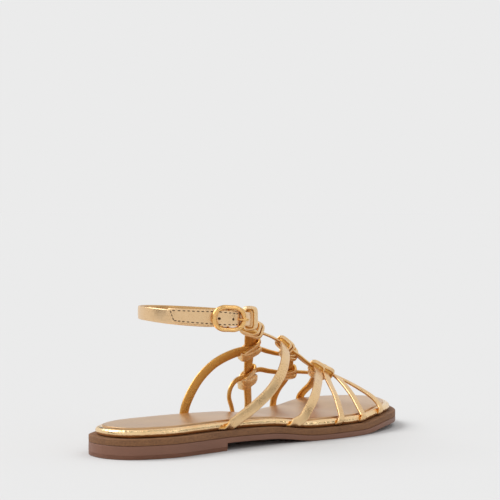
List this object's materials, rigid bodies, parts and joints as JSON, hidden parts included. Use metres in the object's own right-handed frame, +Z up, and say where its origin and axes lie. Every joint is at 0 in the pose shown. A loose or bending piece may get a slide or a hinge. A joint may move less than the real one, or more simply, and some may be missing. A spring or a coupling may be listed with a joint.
{
  "type": "gladiator sandal",
  "caption": "Flat strappy sandal for the right foot: low moulded sole, padded footbed, knotted open strap upper and a buckled ankle strap.",
  "frame": {"origin": "on the floor under the middle of the sole: the middle of its length and of its width", "axes": "+X from heel to toe, +Y to the big-toe side, +Z up from the floor"},
  "size_m": [0.2544, 0.0872, 0.0876],
  "materials": {
    "sole_rubber": "smooth satin brown moulded sole, fine ribs round the heel",
    "midsole_board": "grained brown stacked board, matt",
    "footbed_foil": "very shiny gold foil leather wrapped over padding",
    "sock_satin": "satin rose-tan metallic sock, faintly mirror-like",
    "strap_foil": "champagne-gold foil leather with a fine grain",
    "ankle_foil": "champagne-gold foil leather with a fine grain",
    "buckle_metal": "polished gold plate",
    "prong_metal": "polished gold plate"
  },
  "bodies": {
    "root": {"outsole": "sole_rubber", "midsole": "midsole_board", "footbed": "footbed_foil", "insole_cover": "sock_satin", "upper": "strap_foil", "ankle_strap": "ankle_foil", "buckle_frame": "buckle_metal", "buckle_prong": "prong_metal"}
  },
  "joints": []
}
